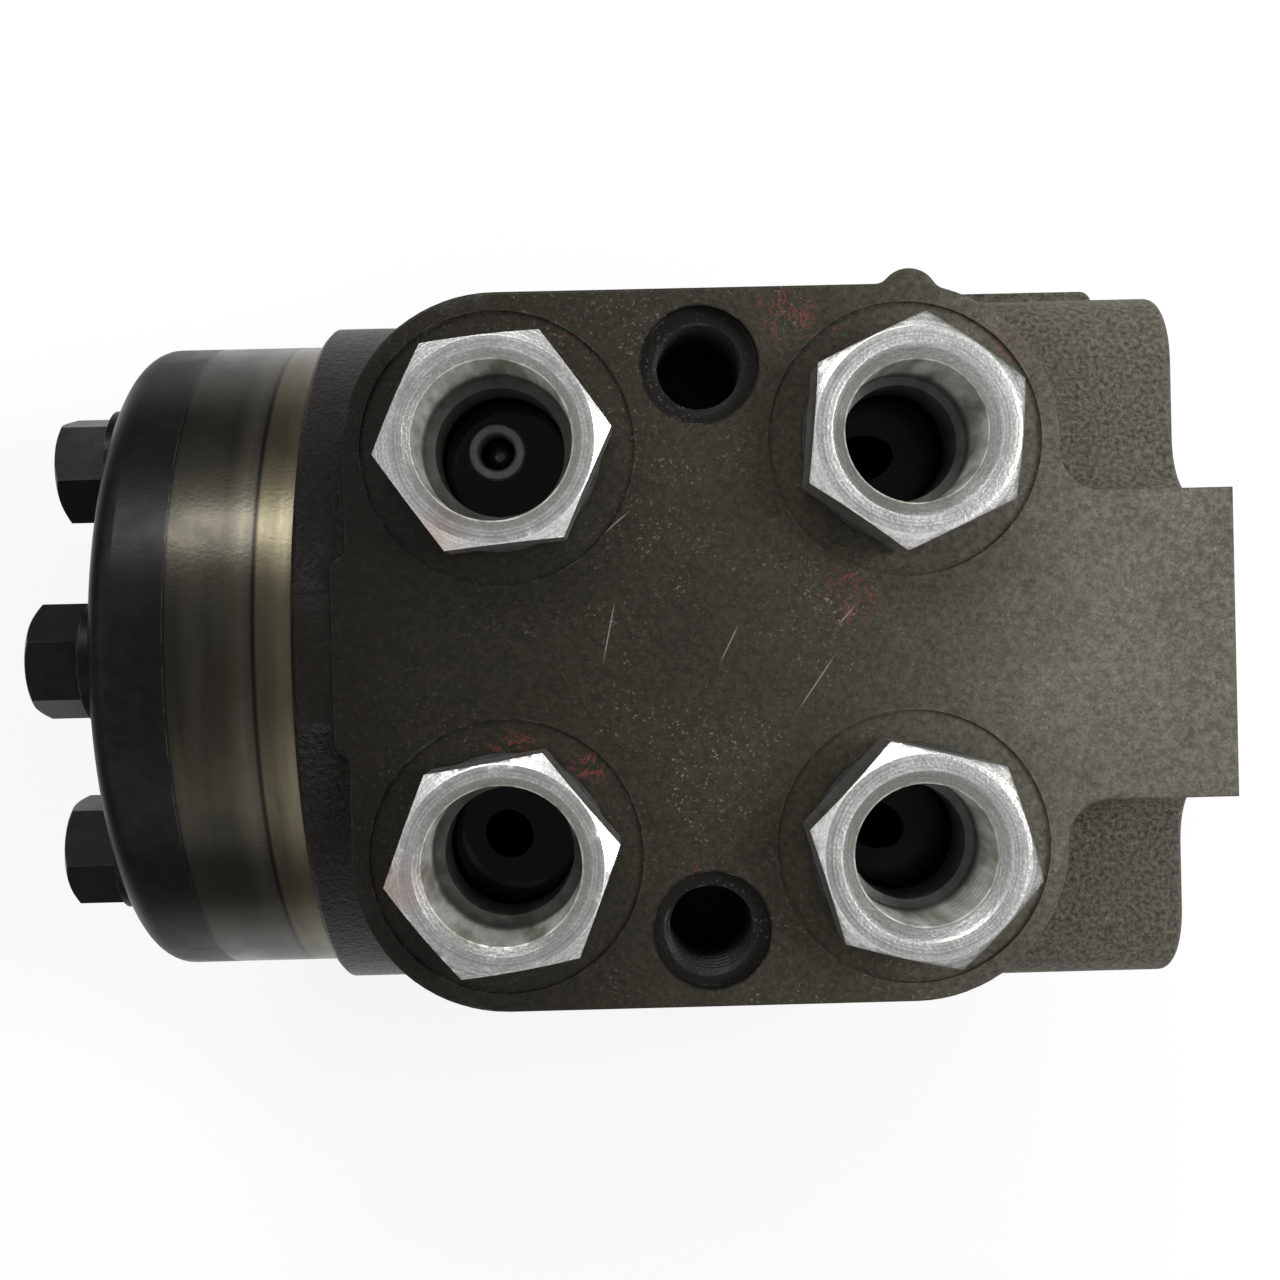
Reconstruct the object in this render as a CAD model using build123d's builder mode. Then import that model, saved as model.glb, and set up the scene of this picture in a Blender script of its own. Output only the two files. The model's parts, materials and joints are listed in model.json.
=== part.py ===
from build123d import *
import os
from math import cos, hypot, pi, radians, sin, sqrt, tan

# Orbital (hydraulic) steering unit, millimetres.
# The origin is the centre of the column mounting face, on the input axis. +X points out of that face,
# +Z points out of the port face, and the gear set and its cover bolts are at the -X end.

os.makedirs("parts", exist_ok=True)

# ---- clearances ----
running_gap = 0.04  # radial gap of a turning fit
seat_gap = 0.03  # end gap of pieces that are stacked or seated
mesh_gap = 0.06  # gap between the gear set's star and its ring
spline_gap = 0.30  # gap round the teeth of the tilting spline

# ---- housing ----
housing_length = 114.0
collar_step = 2.5  # the collar stands out past the gear set
collar_length = 22.0
body_width = 85.0
body_corner_r = 28.0
body_top_z = 22.0
body_end_x = -10.0

port_face_rise = 0.5  # the port face stands above the collar
port_pitch = 49.0
port_mid_x = -64.0
plate_width = 86.5
plate_draft = 1.5  # degrees
plate_lip = 9.0
lip_step = 0.8
side_pad_width = 24.0
side_pad_reach = 1.8
side_pad_root_r = 1.0
stub_r = 3.6
stub_x = -38.6
stub_root_r = 2.0

neck_width = 37.4
neck_mid_y = -0.8
neck_root_r = 4.9
neck_draft = 5.0  # degrees
neck_foot_r = 8.0
plate_edge_r = 0.4
collar_edge = 0.6
flange_width = 93.0
flange_height = 56.0
flange_depth = 34.0
flange_corner_r = 10.0
flange_edge_r = 1.2
side_rib_reach = 1.6
side_rib_z = (6.0, 17.0)
side_rib_end_x = -7.5

# ---- ports, adapters and check valve ----
spotface_r = 16.5
spotface_depth = 0.5
port_thread_r = 11.0
port_depth = 15.5
passage_r = 3.0
hex_shoulder = 1.0  # from the thread to the flats
hex_height = 8.4
hex_face_share = 0.985  # of the flats: the flat ring left by the corner chamfer
hex_chamfer = 30.0  # degrees
adapter_stem_length = 13.5
adapter_step_depth = 14.0
seal_thickness = 1.2
seal_width = 1.47
adapter_tip_wall = 1.5
valve_seat_chamfer = 0.3
feed_r = 2.5
# name: side of the plate in X and Y, turn of the hexagon, thread bore, mouth, inner bore
ports = {
    "p": (-1, 1, 5.5, 9.25, 10.3, 7.95),
    "t": (-1, -1, 9.0, 9.25, 10.3, 7.95),
    "r": (1, 1, 24.5, 8.25, 9.9, 7.20),
    "l": (1, -1, 46.3, 8.25, 9.9, 7.20),
}
valve_offset_x = -1.2
valve_seat_r = 3.8
valve_hole_r = 2.3
valve_chamber_r = 3.7
ball_r = 3.2
ball_lift = 1.2
roll_pin_r = 1.25
roll_pin_wall = 0.4
roll_pin_grip = 3.0  # beyond the ball chamber

# ---- tapped holes ----
plate_hole_pitch = 68.0
plate_hole_r = 5.1
plate_hole_depth = 22.0
counterbore_r = 7.1
counterbore_depth = 2.0
mount_circle_d = 82.4
mount_hole_angle = 29.0  # degrees from the Y axis
mount_hole_r = 4.25
mount_hole_depth = 16.0
pilot_r = 21.0
pilot_depth = 2.5

# ---- spool, sleeve and bearing ----
bore_r = 19.0
shoulder_x = -20.0
spool_r = 15.0
spool_bore_r = 10.5
spool_bore_room = 0.6  # beyond the fork of the cardan shaft
spool_end_x = -3.0
neck_r = 12.0
neck_room = 0.6
neck_chamfer = 0.6
race_thickness = 2.0
race_room = 0.4  # round the spool neck
bearing_side_gap = 0.1
needle_r = 1.0
needle_count = 16
cage_rim = 0.9
groove_width = 4.0
groove_depth = 2.5
groove_x = {"t": -95.0, "p": -83.0, "r": -69.0, "l": -60.0}
commutator_x = -105.0
pin_x = -47.0
pin_r = 4.0
pin_room = 0.2
pin_chamfer = 0.5
spool_swing = 10.0  # degrees either way, between spool and sleeve
seal_r = 16.5
shaft_seal_x = (-18.0, -13.0)
dust_seal_r = 17.0
dust_seal_length = 6.0
spring_x = (-34.5, -28.5)
spring_slot = 4.6
spring_thickness = 0.45
spring_bow = 0.6
spring_step = 0.05
ring_wall = 0.8
ring_opening = 2.5
ring_seat_gap = 0.1
spring_side_gap = 0.2
spring_end_gap = 0.35

# ---- input spline, 12 teeth of module 1.5875 ----
tooth_count = 12
input_minor_r = 8.73
input_major_r = 10.40
input_space = 2.6
input_depth = 23.0

# ---- gear set ----
gear_rim = 9.0  # from the lobe centres to the outside of the gear set
gear_width = 11.0
plate_thickness = 5.0
lobe_count = 7
lobe_pitch_r = 36.0
lobe_r = 9.5
orbit_e = 3.2
bolt_inset = 3.0  # bolts stand inside the lobe centres
valley_gap = 0.15

# ---- cardan shaft ----
shaft_r = 7.0
fork_r = 9.3
fork_length = 9.0
fork_slot = 8.3
fork_tilt_room = 0.7
fork_chamfer = 1.2
head_core_r = 7.9
head_r = 9.5
head_tooth = 2.4
head_length = 8.2
head_crown = 0.35
head_end_gap = 0.4
spline_root_room = 0.45
spacer_r = 6.5
spacer_thickness = 1.8
plate_bore_r = 11.0

# ---- end cover and its bolts ----
cover_thickness = 10.0
cover_edge_r = 3.5
bolt_r = 4.0
bolt_hole_r = 4.25
bolt_tap_r = 4.05
bolt_grip = 14.0
bolt_hole_depth = 17.0
bolt_chamfer = 0.8
bolt_head_flats = 13.0
bolt_head_height = 7.0
washer_r = 8.0
washer_thickness = 1.8
o_ring_inset = 4.4
o_ring_width = 2.4
o_ring_depth = 1.4

# ---- places worked out from the sizes above ----
gear_r = lobe_pitch_r + gear_rim
collar_r = gear_r + collar_step
bolt_circle_r = lobe_pitch_r - bolt_inset
o_ring_r = gear_r - o_ring_inset
port_face_z = collar_r + port_face_rise
hex_across_flats = 2 * (port_thread_r + hex_shoulder)
gear_end_x = -housing_length
ring_right_x = gear_end_x - plate_thickness
ring_left_x = ring_right_x - gear_width
cover_left_x = ring_left_x - cover_thickness
hex_base_z = port_face_z - spotface_depth + seal_thickness
hex_top_z = hex_base_z + hex_height
port_floor_z = port_face_z - port_depth
sleeve_r = bore_r - running_gap
sleeve_bore_r = spool_r + running_gap
inner_left_x = gear_end_x + seat_gap
bearing_x = shoulder_x - seat_gap
cage_x = bearing_x - race_thickness - seat_gap
inner_race_x = cage_x - 2 * needle_r - seat_gap
sleeve_right_x = inner_race_x - race_thickness - seat_gap
spring_mid_x = sum(spring_x) / 2
lobe_step = 360 / lobe_count
first_lobe = 90.0  # degrees from Y: one lobe and one bolt point up
head_mid_x = ring_right_x - seat_gap - head_length / 2 - head_end_gap


FROM_BASE = (Align.CENTER, Align.CENTER, Align.MIN)
FROM_TOP = (Align.CENTER, Align.CENTER, Align.MAX)


def port_place(name):
    """Centre of a port on the port face, in X and Y."""
    side_x, side_y = ports[name][:2]
    return port_mid_x + side_x * port_pitch / 2, side_y * port_pitch / 2


def around(radius, index, phase=0.0):
    """Y and Z of one of the seven places round the input axis."""
    angle = radians(first_lobe + (index + phase) * lobe_step)
    return radius * cos(angle), radius * sin(angle)


def bar(radius, x0, x1, y=0.0, z=0.0, mode=Mode.ADD):
    """Cylinder along X between two stations."""
    with Locations((x0, y, z)):
        Cylinder(radius, x1 - x0, rotation=(0, 90, 0), align=FROM_BASE, mode=mode)


def post(radius, z0, z1, x=0.0, y=0.0, mode=Mode.ADD):
    """Cylinder along Z between two heights."""
    with Locations((x, y, z0)):
        Cylinder(radius, z1 - z0, align=FROM_BASE, mode=mode)


def drill(start, end, radius):
    """Straight drilled passage between two points."""
    run = Vector(*end) - Vector(*start)
    with Locations(Plane(origin=start, z_dir=run)):
        Cylinder(radius, run.length, align=FROM_BASE, mode=Mode.SUBTRACT)


def turned(points, mode=Mode.ADD):
    """Ring or disc turned about the input axis from its half section of (x, radius) points."""
    with BuildSketch(Plane.XZ) as section:
        with BuildLine():
            Polyline(*points, close=True)
        make_face()
    revolve(section.sketch, axis=Axis.X, mode=mode)


def washer_ring(inner, outer, x0, x1):
    """Plain ring about the input axis."""
    turned([(x0, inner), (x1, inner), (x1, outer), (x0, outer)])


def spline_sketch(core_r, tip_r, tooth, turn=0.0):
    """Disc with straight-sided teeth, used for splines and for spline holes."""
    Circle(core_r)
    with PolarLocations(0, tooth_count, start_angle=turn):
        with Locations(((core_r + tip_r) / 2 - core_r / 4, 0)):
            Rectangle(tip_r - core_r / 2, tooth)


def save(piece, name):
    """Label a finished piece and write it."""
    piece.part.label = name
    export_step(piece.part, f"parts/{name}.step")


# ======== housing ========
valve_x = port_place("p")[0] + valve_offset_x
valve_y, roll_pin_z = around(bolt_circle_r, -1)
pin_hole_end = valve_x + valve_chamber_r + roll_pin_grip
ball_z = roll_pin_z + roll_pin_r + seat_gap + ball_r
seat_z = ball_z + ball_lift + seat_gap + sqrt(ball_r**2 - valve_hole_r**2)

with BuildPart() as housing:
    # cast body with a flat belly, and the turned collar at the gear end
    with BuildSketch(Plane.YZ.offset(gear_end_x + collar_length / 2)) as body_section:
        with Locations((0, (body_top_z - collar_r) / 2)):
            Rectangle(body_width, body_top_z + collar_r)
        fillet(body_section.vertices().group_by(Axis.Y)[0], body_corner_r)
    extrude(amount=body_end_x - gear_end_x - collar_length / 2)
    bar(collar_r, gear_end_x, gear_end_x + collar_length)
    chamfer(housing.edges().filter_by(GeomType.CIRCLE).sort_by(Axis.X)[0], collar_edge)

    # mounting end: a lower lobe on each side of the drafted neck, joined to it by the casting's foot radius
    foot_top_z = port_face_z - plate_lip
    with BuildSketch(Plane.YZ.offset(-flange_depth)) as end_section:
        RectangleRounded(flange_width, flange_height, flange_corner_r)
        with Locations((neck_mid_y, 0)):
            foot_width = neck_width + 2 * foot_top_z * tan(radians(neck_draft))
            Trapezoid(foot_width, foot_top_z, 90 - neck_draft, align=(Align.CENTER, Align.MIN))
        foot_corners = end_section.vertices().group_by(Axis.Y)[-2].sort_by(Axis.X)[1:3]
        fillet(foot_corners, neck_foot_r)
    extrude(amount=flange_depth)
    fillet(housing.faces().sort_by(Axis.X)[-1].edges().sort_by(Axis.Z)[:-1], flange_edge_r)

    # casting rib on one side
    with BuildSketch(Plane.XY.offset(side_rib_z[0])) as rib_section:
        with Locations((side_rib_end_x, flange_width / 2 + side_rib_reach)):
            Rectangle(port_pitch, flange_corner_r, align=(Align.MAX, Align.MAX))
        fillet(rib_section.vertices().group_by(Axis.Y)[-1], side_rib_reach)
    extrude(amount=side_rib_z[1] - side_rib_z[0])

    # port plate with corners concentric with the ports, its side pad, the casting stub and the neck
    plate_left_x = port_mid_x - plate_width / 2
    stub_centre = Vector(stub_x, plate_width / 2 - stub_r / 2)
    with BuildSketch(Plane.XY.offset(foot_top_z)) as port_plate:
        with Locations((port_mid_x, 0)):
            RectangleRounded(plate_width, plate_width, (plate_width - port_pitch) / 2)
        with Locations((-flange_depth, neck_mid_y)):
            Rectangle(flange_depth, neck_width, align=(Align.MIN, Align.CENTER))
        neck_roots = port_plate.vertices().group_by(Axis.X)[-2].sort_by(Axis.Y)[1:3]
        fillet(neck_roots, neck_root_r)
        with Locations((plate_left_x - side_pad_reach, 0)):
            side_pad = (side_pad_width / 2, side_pad_width, side_pad_reach)
            RectangleRounded(*side_pad, align=(Align.MIN, Align.CENTER))
        on_left_edge = port_plate.vertices().filter_by(lambda v: abs(v.X - plate_left_x) < seat_gap)
        fillet(on_left_edge.filter_by(lambda v: abs(v.Y) < side_pad_width), side_pad_root_r)
        with Locations(stub_centre):
            Circle(stub_r)
        near_stub = port_plate.vertices().filter_by(lambda v: abs(v.X - stub_x) < stub_r + seat_gap)
        fillet(near_stub.filter_by(lambda v: v.Y > stub_centre.Y - stub_r), stub_root_r)
    extrude(amount=plate_lip)
    fillet(housing.faces().sort_by(Axis.Z)[-1].outer_wire().edges(), plate_edge_r)

    # drafted pedestal under the plate
    with BuildSketch(Plane.XY.offset(foot_top_z)):
        with Locations((port_mid_x, 0)):
            pedestal_width = plate_width - 2 * lip_step
            RectangleRounded(pedestal_width, pedestal_width, (pedestal_width - port_pitch) / 2)
    extrude(amount=-(foot_top_z - body_top_z / 2), taper=plate_draft)

    # spotfaces, threaded ports and their passages to the ring grooves of the bore
    bar(bore_r, gear_end_x, shoulder_x, mode=Mode.SUBTRACT)
    for name in ports:
        port_x, port_y = port_place(name)
        post(spotface_r, port_face_z - spotface_depth, port_face_z, port_x, port_y, Mode.SUBTRACT)
        post(port_thread_r, port_floor_z, port_face_z, port_x, port_y, Mode.SUBTRACT)
        side = 1 if port_y > 0 else -1
        run_start = (port_x, port_y, port_floor_z + passage_r)
        if name == "p":
            run_start = (valve_x, valve_y, bore_r / 2 + passage_r)
        drill(run_start, (groove_x[name], side * (bore_r - passage_r / 2), bore_r / 2), passage_r)
        half = groove_width / 2
        bar(bore_r + groove_depth, groove_x[name] - half, groove_x[name] + half, mode=Mode.SUBTRACT)

    # check valve: threaded seat, ball chamber and the hole of the roll pin that stops the ball
    post(valve_seat_r, seat_z, port_floor_z, valve_x, valve_y, Mode.SUBTRACT)
    post(valve_chamber_r, bore_r / 2, seat_z, valve_x, valve_y, Mode.SUBTRACT)
    pin_hole_start = gear_end_x + bolt_hole_depth - seat_gap
    bar(roll_pin_r, pin_hole_start, pin_hole_end, valve_y, roll_pin_z, Mode.SUBTRACT)

    # bolt holes, and the passages that feed the gear chambers from the bore
    for index in range(lobe_count):
        bolt_y, bolt_z = around(bolt_circle_r, index)
        bar(bolt_tap_r, gear_end_x, gear_end_x + bolt_hole_depth, bolt_y, bolt_z, Mode.SUBTRACT)
        feed_y, feed_z = around(bolt_circle_r - 2 * passage_r, index, 0.5)
        bar(feed_r, gear_end_x, commutator_x + passage_r, feed_y, feed_z, Mode.SUBTRACT)
        drill((commutator_x, feed_y / 2, feed_z / 2), (commutator_x, feed_y, feed_z), feed_r)

    # counterbored tapped holes of the port face
    for side in (-1, 1):
        hole = (port_mid_x, side * plate_hole_pitch / 2)
        post(counterbore_r, port_face_z - counterbore_depth, port_face_z, *hole, Mode.SUBTRACT)
        post(plate_hole_r, port_face_z - plate_hole_depth, port_face_z, *hole, Mode.SUBTRACT)

    # column mounting face: pilot, tapped holes, seal seats and neck bore
    for turn in (mount_hole_angle, 180 - mount_hole_angle, 180 + mount_hole_angle, -mount_hole_angle):
        hole_y = mount_circle_d / 2 * cos(radians(turn))
        hole_z = mount_circle_d / 2 * sin(radians(turn))
        bar(mount_hole_r, -mount_hole_depth, 0, hole_y, hole_z, Mode.SUBTRACT)
    bar(pilot_r, -pilot_depth, 0, mode=Mode.SUBTRACT)
    bar(dust_seal_r, -pilot_depth - dust_seal_length, 0, mode=Mode.SUBTRACT)
    bar(neck_r + neck_room, shoulder_x, 0, mode=Mode.SUBTRACT)
    bar(seal_r, *shaft_seal_x, mode=Mode.SUBTRACT)

    # face seal groove round the bolt circle
    turned(
        [
            (gear_end_x, o_ring_r - o_ring_width / 2),
            (gear_end_x, o_ring_r + o_ring_width / 2),
            (gear_end_x + o_ring_depth, o_ring_r + o_ring_width / 2),
            (gear_end_x + o_ring_depth, o_ring_r - o_ring_width / 2),
        ],
        mode=Mode.SUBTRACT,
    )
save(housing, "housing")


# ======== port adapters, their seals and the check valve ========
def hex_head(base, flats, height, turn):
    """Hexagon with chamfered corners, standing on a plane."""
    face_r = flats / 2 * hex_face_share
    outside_r = 2 * flats / sqrt(3) - face_r
    drop = (outside_r - face_r) * tan(radians(hex_chamfer))
    with BuildSketch(base) as hexagon:
        RegularPolygon(flats / 2, 6, major_radius=False, rotation=turn)
    extrude(hexagon.sketch, amount=height)
    with BuildSketch(Plane(origin=base.origin, x_dir=base.x_dir, z_dir=-base.y_dir)) as envelope:
        with BuildLine():
            rim_points = [(outside_r, 0), (outside_r, height - drop), (face_r, height)]
            Polyline((0, 0), *rim_points, (0, height), close=True)
        make_face()
    revolve(envelope.sketch, axis=Axis(base.origin, base.z_dir), mode=Mode.INTERSECT)


for name, port in ports.items():
    hex_turn, thread_r, mouth_r, inner_r = port[2:]
    centre = port_place(name)
    stem_end_z = hex_base_z - adapter_stem_length
    with BuildPart() as adapter:
        hex_head(Plane((*centre, hex_base_z)), hex_across_flats, hex_height, hex_turn)
        post(port_thread_r - running_gap, stem_end_z, hex_base_z, *centre)
        chamfer(adapter.edges().sort_by(Axis.Z)[0], port_thread_r - inner_r - adapter_tip_wall)
        post(inner_r, stem_end_z, hex_top_z, *centre, Mode.SUBTRACT)
        post(thread_r, hex_top_z - adapter_step_depth, hex_top_z, *centre, Mode.SUBTRACT)
        with Locations((*centre, hex_top_z)):
            mouth_depth = mouth_r - thread_r
            Cone(thread_r, mouth_r, mouth_depth, align=FROM_TOP, mode=Mode.SUBTRACT)
    save(adapter, f"port_adapter_{name}")

    with BuildPart() as port_seal:
        seal_inner_r = port_thread_r + seat_gap
        post(seal_inner_r + seal_width, port_face_z - spotface_depth, hex_base_z, *centre)
        post(seal_inner_r, port_face_z - spotface_depth, hex_base_z, *centre, Mode.SUBTRACT)
    save(port_seal, f"port_seal_{name}")

with BuildPart() as check_valve_seat:
    post(valve_seat_r - seat_gap, seat_z, port_floor_z, valve_x, valve_y)
    post(valve_hole_r, seat_z, port_floor_z, valve_x, valve_y, Mode.SUBTRACT)
    chamfer(check_valve_seat.faces().sort_by(Axis.Z)[-1].edges(), valve_seat_chamfer)
save(check_valve_seat, "check_valve_seat")

with BuildPart() as check_ball:
    with Locations((valve_x, valve_y, ball_z)):
        Sphere(ball_r)
save(check_ball, "check_ball")

roll_pin_x = gear_end_x + bolt_hole_depth
with BuildPart() as roll_pin:
    roll_pin_length = pin_hole_end - roll_pin_x
    pin_line = (roll_pin_x, pin_hole_end, valve_y, roll_pin_z)
    bar(roll_pin_r - seat_gap / 2, *pin_line)
    bar(roll_pin_r - roll_pin_wall, *pin_line, Mode.SUBTRACT)
    with Locations((roll_pin_x + roll_pin_length / 2, valve_y, roll_pin_z - roll_pin_r)):
        Box(roll_pin_length, roll_pin_wall, roll_pin_r, mode=Mode.SUBTRACT)
save(roll_pin, "roll_pin")

# ======== seals and thrust bearing at the input end ========
lip_r = neck_r + 2 * running_gap
dust_x0 = -pilot_depth - dust_seal_length + seat_gap
dust_x1 = -pilot_depth
with BuildPart() as dust_seal:
    lip = (dust_seal_r - neck_r) / 3
    outer = dust_seal_r - seat_gap
    turned([
        (dust_x0, outer),
        (dust_x1, outer),
        (dust_x1, outer - lip),
        (dust_x1 - lip, outer - 2 * lip),
        (dust_x1, lip_r),
        (dust_x1 - lip, lip_r),
        (dust_x0 + lip, outer - 2 * lip),
        (dust_x0, outer - 2 * lip),
    ])
save(dust_seal, "dust_seal")

with BuildPart() as shaft_seal:
    seal_x0, seal_x1 = shaft_seal_x[0] + seat_gap, shaft_seal_x[1] - seat_gap
    outer = seal_r - seat_gap
    lip = (outer - lip_r) / 3
    turned([
        (seal_x0, outer), (seal_x1, outer), (seal_x1, lip_r), (seal_x1 - lip, lip_r),
        (seal_x1 - 2 * lip, outer - 2 * lip), (seal_x0 + lip, outer - lip), (seal_x0, outer - lip),
    ])
save(shaft_seal, "shaft_seal")

race_inner_r = neck_r + race_room
race_outer_r = bore_r - bearing_side_gap
for name, right_x in (("bearing_race_outer", bearing_x), ("bearing_race_inner", inner_race_x)):
    with BuildPart() as race:
        washer_ring(race_inner_r, race_outer_r, right_x - race_thickness, right_x)
    save(race, name)

cage_mid_x = cage_x - needle_r
cage_inner_r = race_inner_r + bearing_side_gap
cage_outer_r = race_outer_r - bearing_side_gap
needle_length = cage_outer_r - cage_inner_r - 2 * cage_rim
with BuildPart() as needle_thrust_cage:
    washer_ring(cage_inner_r, cage_outer_r, cage_mid_x - needle_r / 2, cage_mid_x + needle_r / 2)
    with Locations(Plane.YZ.offset(cage_mid_x)):
        with PolarLocations((cage_inner_r + cage_outer_r) / 2, needle_count):
            pocket_gap = 2 * bearing_side_gap
            Box(needle_length + pocket_gap, 2 * needle_r + pocket_gap, 2 * needle_r, mode=Mode.SUBTRACT)
            Cylinder(needle_r - seat_gap, needle_length, rotation=(0, 90, 0))
save(needle_thrust_cage, "needle_thrust_cage")

# ======== spool, sleeve and the centring parts ========
pin_room_r = pin_r + spool_r * sin(radians(spool_swing)) + pin_room
spring_width = spring_x[1] - spring_x[0]
spring_length = 2 * (sleeve_r - ring_wall - spring_end_gap)

with BuildPart() as spool:
    bar(spool_r, inner_left_x, sleeve_right_x)
    bar(neck_r, sleeve_right_x, spool_end_x)
    chamfer(spool.edges().filter_by(GeomType.CIRCLE).sort_by(Axis.X)[-1], neck_chamfer)
    bar(spool_bore_r, inner_left_x, pin_x + fork_length + spool_bore_room, mode=Mode.SUBTRACT)
    with BuildSketch(Plane.YZ.offset(spool_end_x)):
        spline_sketch(input_minor_r, input_major_r, input_space)
    extrude(amount=-input_depth, mode=Mode.SUBTRACT)
    with Locations((spring_mid_x, 0, 0)):
        Box(spring_width, spring_slot, 2 * bore_r, mode=Mode.SUBTRACT)
    with Locations((pin_x, 0, 0)):
        Cylinder(pin_room_r, 2 * bore_r, rotation=(90, 0, 0), mode=Mode.SUBTRACT)
    # metering slots
    with Locations(Plane.YZ.offset((groove_x["t"] + groove_x["p"]) / 2)):
        with PolarLocations(spool_r, tooth_count):
            Box(groove_depth, passage_r, groove_x["p"] - groove_x["t"] + passage_r, mode=Mode.SUBTRACT)
save(spool, "spool")

with BuildPart() as sleeve:
    washer_ring(sleeve_bore_r, sleeve_r, inner_left_x, sleeve_right_x)
    with Locations((spring_mid_x, 0, 0)):
        Box(spring_width, spring_slot, 2 * bore_r, mode=Mode.SUBTRACT)
    with Locations((pin_x, 0, 0)):
        Cylinder(pin_r, 2 * bore_r, rotation=(90, 0, 0), mode=Mode.SUBTRACT)
    # rows of radial holes: the commutator row and one row for each port's ring groove
    hole_rows = {commutator_x: tooth_count, **{x: tooth_count // 2 for x in groove_x.values()}}
    for row_x, count in hole_rows.items():
        with Locations(Plane.YZ.offset(row_x)):
            with PolarLocations((sleeve_r + sleeve_bore_r) / 2, count, start_angle=180 / tooth_count):
                Cylinder(passage_r / 2, 3 * groove_depth, rotation=(0, 90, 0), mode=Mode.SUBTRACT)
    # seat of the retaining ring over the spring ends
    turned(
        [
            (spring_x[0] - ring_wall, sleeve_r - ring_wall - ring_seat_gap),
            (spring_x[1] + ring_wall, sleeve_r - ring_wall - ring_seat_gap),
            (spring_x[1] + ring_wall, bore_r),
            (spring_x[0] - ring_wall, bore_r),
        ],
        mode=Mode.SUBTRACT,
    )
save(sleeve, "sleeve")

with BuildPart() as cross_pin:
    with Locations((pin_x, 0, 0)):
        Cylinder(pin_r - seat_gap / 2, 2 * (sleeve_r - pin_chamfer), rotation=(90, 0, 0))
    chamfer(cross_pin.edges().filter_by(GeomType.CIRCLE), pin_chamfer)
save(cross_pin, "cross_pin")

with BuildPart() as leaf_springs_flat:
    for side in (-1, 1):
        with Locations((spring_mid_x, side * (spring_thickness + spring_step) / 2, 0)):
            Box(spring_width - 2 * spring_side_gap, spring_thickness, spring_length)
save(leaf_springs_flat, "leaf_springs_flat")

with BuildPart() as leaf_springs_arched:
    for side in (-1, 1):
        for layer in (0, 1):
            near = spring_step / 2 + (layer + 1) * (spring_thickness + spring_step)
            with BuildSketch(Plane.YZ.offset(spring_x[0] + spring_side_gap)):
                with BuildLine():
                    half = spring_length / 2
                    bow = [(near + spring_bow, -half), (near, 0), (near + spring_bow, half)]
                    inside = ThreePointArc(*((side * y, z) for y, z in bow))
                    outside = ThreePointArc(*((side * (y + spring_thickness), z) for y, z in bow))
                    Line(inside @ 0, outside @ 0)
                    Line(inside @ 1, outside @ 1)
                make_face()
            extrude(amount=spring_width - 2 * spring_side_gap)
save(leaf_springs_arched, "leaf_springs_arched")

with BuildPart() as spring_retaining_ring:
    ring_ends = (spring_x[0] - ring_wall / 2, spring_x[1] + ring_wall / 2)
    washer_ring(sleeve_r - ring_wall, sleeve_r - seat_gap, *ring_ends)
    with Locations((spring_mid_x, sleeve_r, 0)):
        Box(2 * spring_width, 2 * spring_width, ring_opening, mode=Mode.SUBTRACT)
save(spring_retaining_ring, "spring_retaining_ring")

# ======== cardan shaft ========
# its frame starts at the cross pin and runs along the tilted shaft to the middle of the star
cardan_frame = Plane(origin=(pin_x, 0, 0), x_dir=(0, 1, 0), z_dir=(head_mid_x - pin_x, 0, orbit_e))
cardan_run = hypot(head_mid_x - pin_x, orbit_e)
head_start = cardan_run - head_length / 2
frame_side = Plane(origin=cardan_frame.origin, x_dir=cardan_frame.x_dir, z_dir=-cardan_frame.y_dir)
cardan_axis = Axis(cardan_frame.origin, cardan_frame.z_dir)

with BuildPart() as cardan_shaft:
    with BuildSketch(cardan_frame.offset(head_start)):
        spline_sketch(head_core_r, head_r, head_tooth)
    extrude(amount=head_length)
    with BuildSketch(frame_side) as crown:
        with BuildLine():
            head_end = head_start + head_length
            crown_arc = ThreePointArc(
                (head_r - head_crown, head_start), (head_r, cardan_run), (head_r - head_crown, head_end)
            )
            Polyline(crown_arc @ 1, (0, head_end), (0, head_start), crown_arc @ 0)
        make_face()
    revolve(crown.sketch, axis=cardan_axis, mode=Mode.INTERSECT)
    with BuildSketch(frame_side) as blank:
        with BuildLine():
            Polyline(
                (0, -fork_length),
                (fork_r - fork_chamfer, -fork_length),
                (fork_r, fork_chamfer - fork_length),
                (fork_r, fork_length),
                (shaft_r, fork_length + 2 * (fork_r - shaft_r)),
                (shaft_r, head_start),
                (0, head_start),
                close=True,
            )
        make_face()
    revolve(blank.sketch, axis=cardan_axis)
    with Locations(cardan_frame.offset(fork_tilt_room)):
        Box(3 * fork_r, fork_slot, 2 * fork_length, align=FROM_TOP, mode=Mode.SUBTRACT)
        Cylinder(fork_slot / 2, 3 * fork_r, rotation=(0, 90, 0), mode=Mode.SUBTRACT)
save(cardan_shaft, "cardan_shaft")

with BuildPart() as cardan_spacer:
    spacer_x = ring_left_x + seat_gap
    bar(spacer_r, spacer_x, spacer_x + spacer_thickness, 0, orbit_e)
save(cardan_spacer, "cardan_spacer")

# ======== distributor plate, gear set and end cover ========
valley_r = lobe_pitch_r - lobe_r + 2 * orbit_e + valley_gap


def bolt_holes(x0, x1):
    """Clearance holes of the seven cover bolts."""
    for index in range(lobe_count):
        bar(bolt_hole_r, x0, x1, *around(bolt_circle_r, index), Mode.SUBTRACT)


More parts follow.
